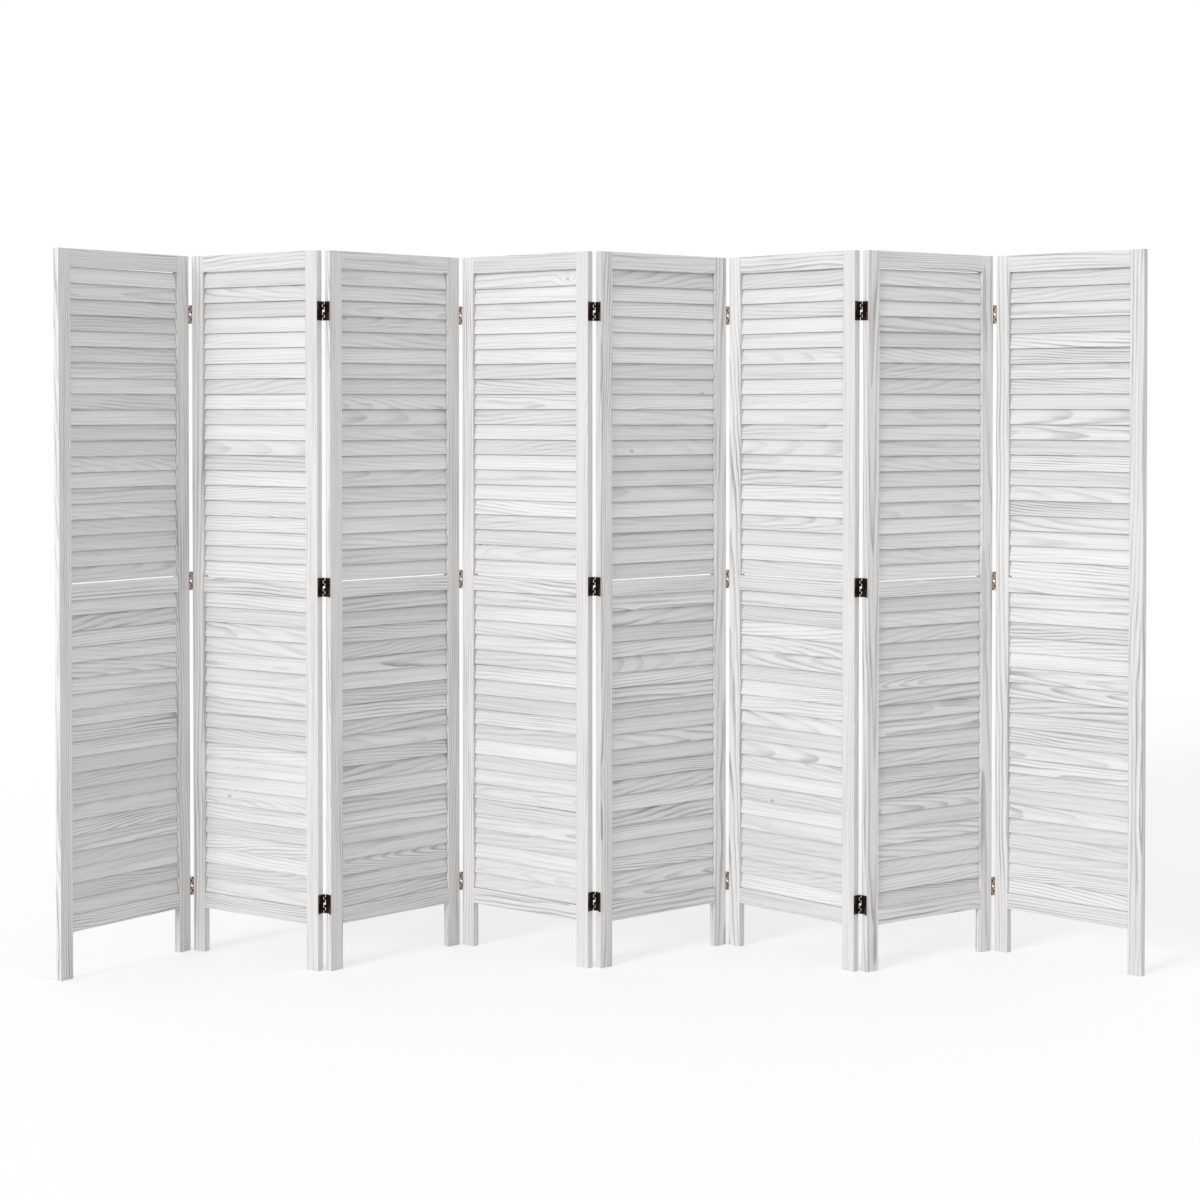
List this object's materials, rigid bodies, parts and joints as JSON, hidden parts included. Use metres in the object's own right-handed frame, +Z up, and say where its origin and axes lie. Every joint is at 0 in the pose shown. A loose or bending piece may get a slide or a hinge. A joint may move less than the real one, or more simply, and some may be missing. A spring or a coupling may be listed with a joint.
{
  "type": "folding screen",
  "caption": "Freestanding folding screen of louvred wooden panels hinged edge to edge and standing in a zigzag on short legs.",
  "frame": {"origin": "on the floor, under the centre of the screen's bounding box", "axes": "+X along the screen from its left end to its right end as seen from the front, +Y away from the front, +Z up"},
  "size_m": [2.541, 0.3926, 1.7],
  "materials": {
    "whitewashed_wood": "matt whitewash with grey grain showing through",
    "dark_bronze": "dark bronze plated steel, copper-coloured where it is worn"
  },
  "bodies": {
    "panel_1": {"panel_1_frame": "whitewashed_wood", "panel_1_louvres": "whitewashed_wood", "hinge_1_2_bottom_left_half": "dark_bronze", "hinge_1_2_middle_left_half": "dark_bronze", "hinge_1_2_top_left_half": "dark_bronze"},
    "panel_2": {"panel_2_frame": "whitewashed_wood", "panel_2_louvres": "whitewashed_wood", "hinge_1_2_bottom_right_half": "dark_bronze", "hinge_1_2_middle_right_half": "dark_bronze", "hinge_1_2_top_right_half": "dark_bronze", "hinge_2_3_bottom_left_half": "dark_bronze", "hinge_2_3_middle_left_half": "dark_bronze", "hinge_2_3_top_left_half": "dark_bronze"},
    "panel_3": {"panel_3_frame": "whitewashed_wood", "panel_3_louvres": "whitewashed_wood", "hinge_2_3_bottom_right_half": "dark_bronze", "hinge_2_3_middle_right_half": "dark_bronze", "hinge_2_3_top_right_half": "dark_bronze", "hinge_3_4_bottom_left_half": "dark_bronze", "hinge_3_4_middle_left_half": "dark_bronze", "hinge_3_4_top_left_half": "dark_bronze"},
    "panel_4": {"panel_4_frame": "whitewashed_wood", "panel_4_louvres": "whitewashed_wood", "hinge_3_4_bottom_right_half": "dark_bronze", "hinge_3_4_middle_right_half": "dark_bronze", "hinge_3_4_top_right_half": "dark_bronze", "hinge_4_5_bottom_left_half": "dark_bronze", "hinge_4_5_middle_left_half": "dark_bronze", "hinge_4_5_top_left_half": "dark_bronze"},
    "panel_5": {"panel_5_frame": "whitewashed_wood", "panel_5_louvres": "whitewashed_wood", "hinge_4_5_bottom_right_half": "dark_bronze", "hinge_4_5_middle_right_half": "dark_bronze", "hinge_4_5_top_right_half": "dark_bronze", "hinge_5_6_bottom_left_half": "dark_bronze", "hinge_5_6_middle_left_half": "dark_bronze", "hinge_5_6_top_left_half": "dark_bronze"},
    "panel_6": {"panel_6_frame": "whitewashed_wood", "panel_6_louvres": "whitewashed_wood", "hinge_5_6_bottom_right_half": "dark_bronze", "hinge_5_6_middle_right_half": "dark_bronze", "hinge_5_6_top_right_half": "dark_bronze", "hinge_6_7_bottom_left_half": "dark_bronze", "hinge_6_7_middle_left_half": "dark_bronze", "hinge_6_7_top_left_half": "dark_bronze"},
    "panel_7": {"panel_7_frame": "whitewashed_wood", "panel_7_louvres": "whitewashed_wood", "hinge_6_7_bottom_right_half": "dark_bronze", "hinge_6_7_middle_right_half": "dark_bronze", "hinge_6_7_top_right_half": "dark_bronze", "hinge_7_8_bottom_left_half": "dark_bronze", "hinge_7_8_middle_left_half": "dark_bronze", "hinge_7_8_top_left_half": "dark_bronze"},
    "panel_8": {"panel_8_frame": "whitewashed_wood", "panel_8_louvres": "whitewashed_wood", "hinge_7_8_bottom_right_half": "dark_bronze", "hinge_7_8_middle_right_half": "dark_bronze", "hinge_7_8_top_right_half": "dark_bronze"}
  },
  "joints": [
    {"name": "fold_1_2", "type": "hinge", "parent": "panel_2", "child": "panel_1", "pos_m": [-1.00678, 0.12155, 0.9], "axis": [0, 0, 1], "range_deg": [-86, 92]},
    {"name": "fold_2_3", "type": "hinge", "parent": "panel_3", "child": "panel_2", "pos_m": [-0.65718, -0.09013, 0.9], "axis": [0, 0, -1], "range_deg": [-78, 100]},
    {"name": "fold_3_4", "type": "hinge", "parent": "panel_4", "child": "panel_3", "pos_m": [-0.34965, 0.17904, 0.9], "axis": [0, 0, 1], "range_deg": [-83, 95]},
    {"name": "fold_4_5", "type": "hinge", "parent": "panel_4", "child": "panel_5", "pos_m": [-0.01984, -0.06231, 0.9], "axis": [0, 0, 1], "range_deg": [-78, 100]},
    {"name": "fold_5_6", "type": "hinge", "parent": "panel_5", "child": "panel_6", "pos_m": [0.30998, 0.17904, 0.9], "axis": [0, 0, -1], "range_deg": [-85, 93]},
    {"name": "fold_6_7", "type": "hinge", "parent": "panel_6", "child": "panel_7", "pos_m": [0.60793, -0.1007, 0.9], "axis": [0, 0, 1], "range_deg": [-80, 98]},
    {"name": "fold_7_8", "type": "hinge", "parent": "panel_7", "child": "panel_8", "pos_m": [0.95752, 0.11098, 0.9], "axis": [0, 0, -1], "range_deg": [-76, 102]}
  ]
}
